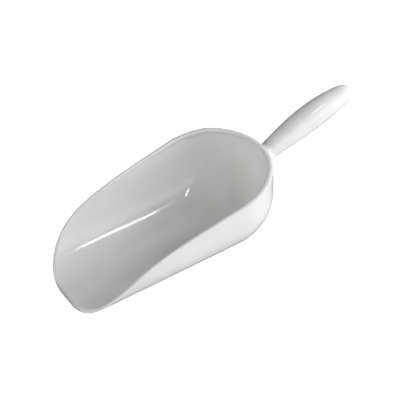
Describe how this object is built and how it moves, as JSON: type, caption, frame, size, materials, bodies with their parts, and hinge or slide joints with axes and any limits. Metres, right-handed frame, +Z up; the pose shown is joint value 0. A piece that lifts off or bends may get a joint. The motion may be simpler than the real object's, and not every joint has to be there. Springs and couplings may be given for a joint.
{
  "type": "feed scoop",
  "caption": "Hand scoop for dry feed: a deep open bowl with a sloping rim, and a round hollow handle that rises from its back wall.",
  "frame": {"origin": "on the flat underside, below the middle of the bowl", "axes": "+X from the lip towards the handle, +Z up out of the bowl, and the object is symmetric in Y"},
  "size_m": [0.3157, 0.1178, 0.0851],
  "materials": {
    "white_plastic": "glossy injection-moulded polypropylene, lightly worn"
  },
  "bodies": {
    "root": {"bowl": "white_plastic", "handle_upper_shell": "white_plastic", "handle_lower_shell": "white_plastic"}
  },
  "joints": []
}
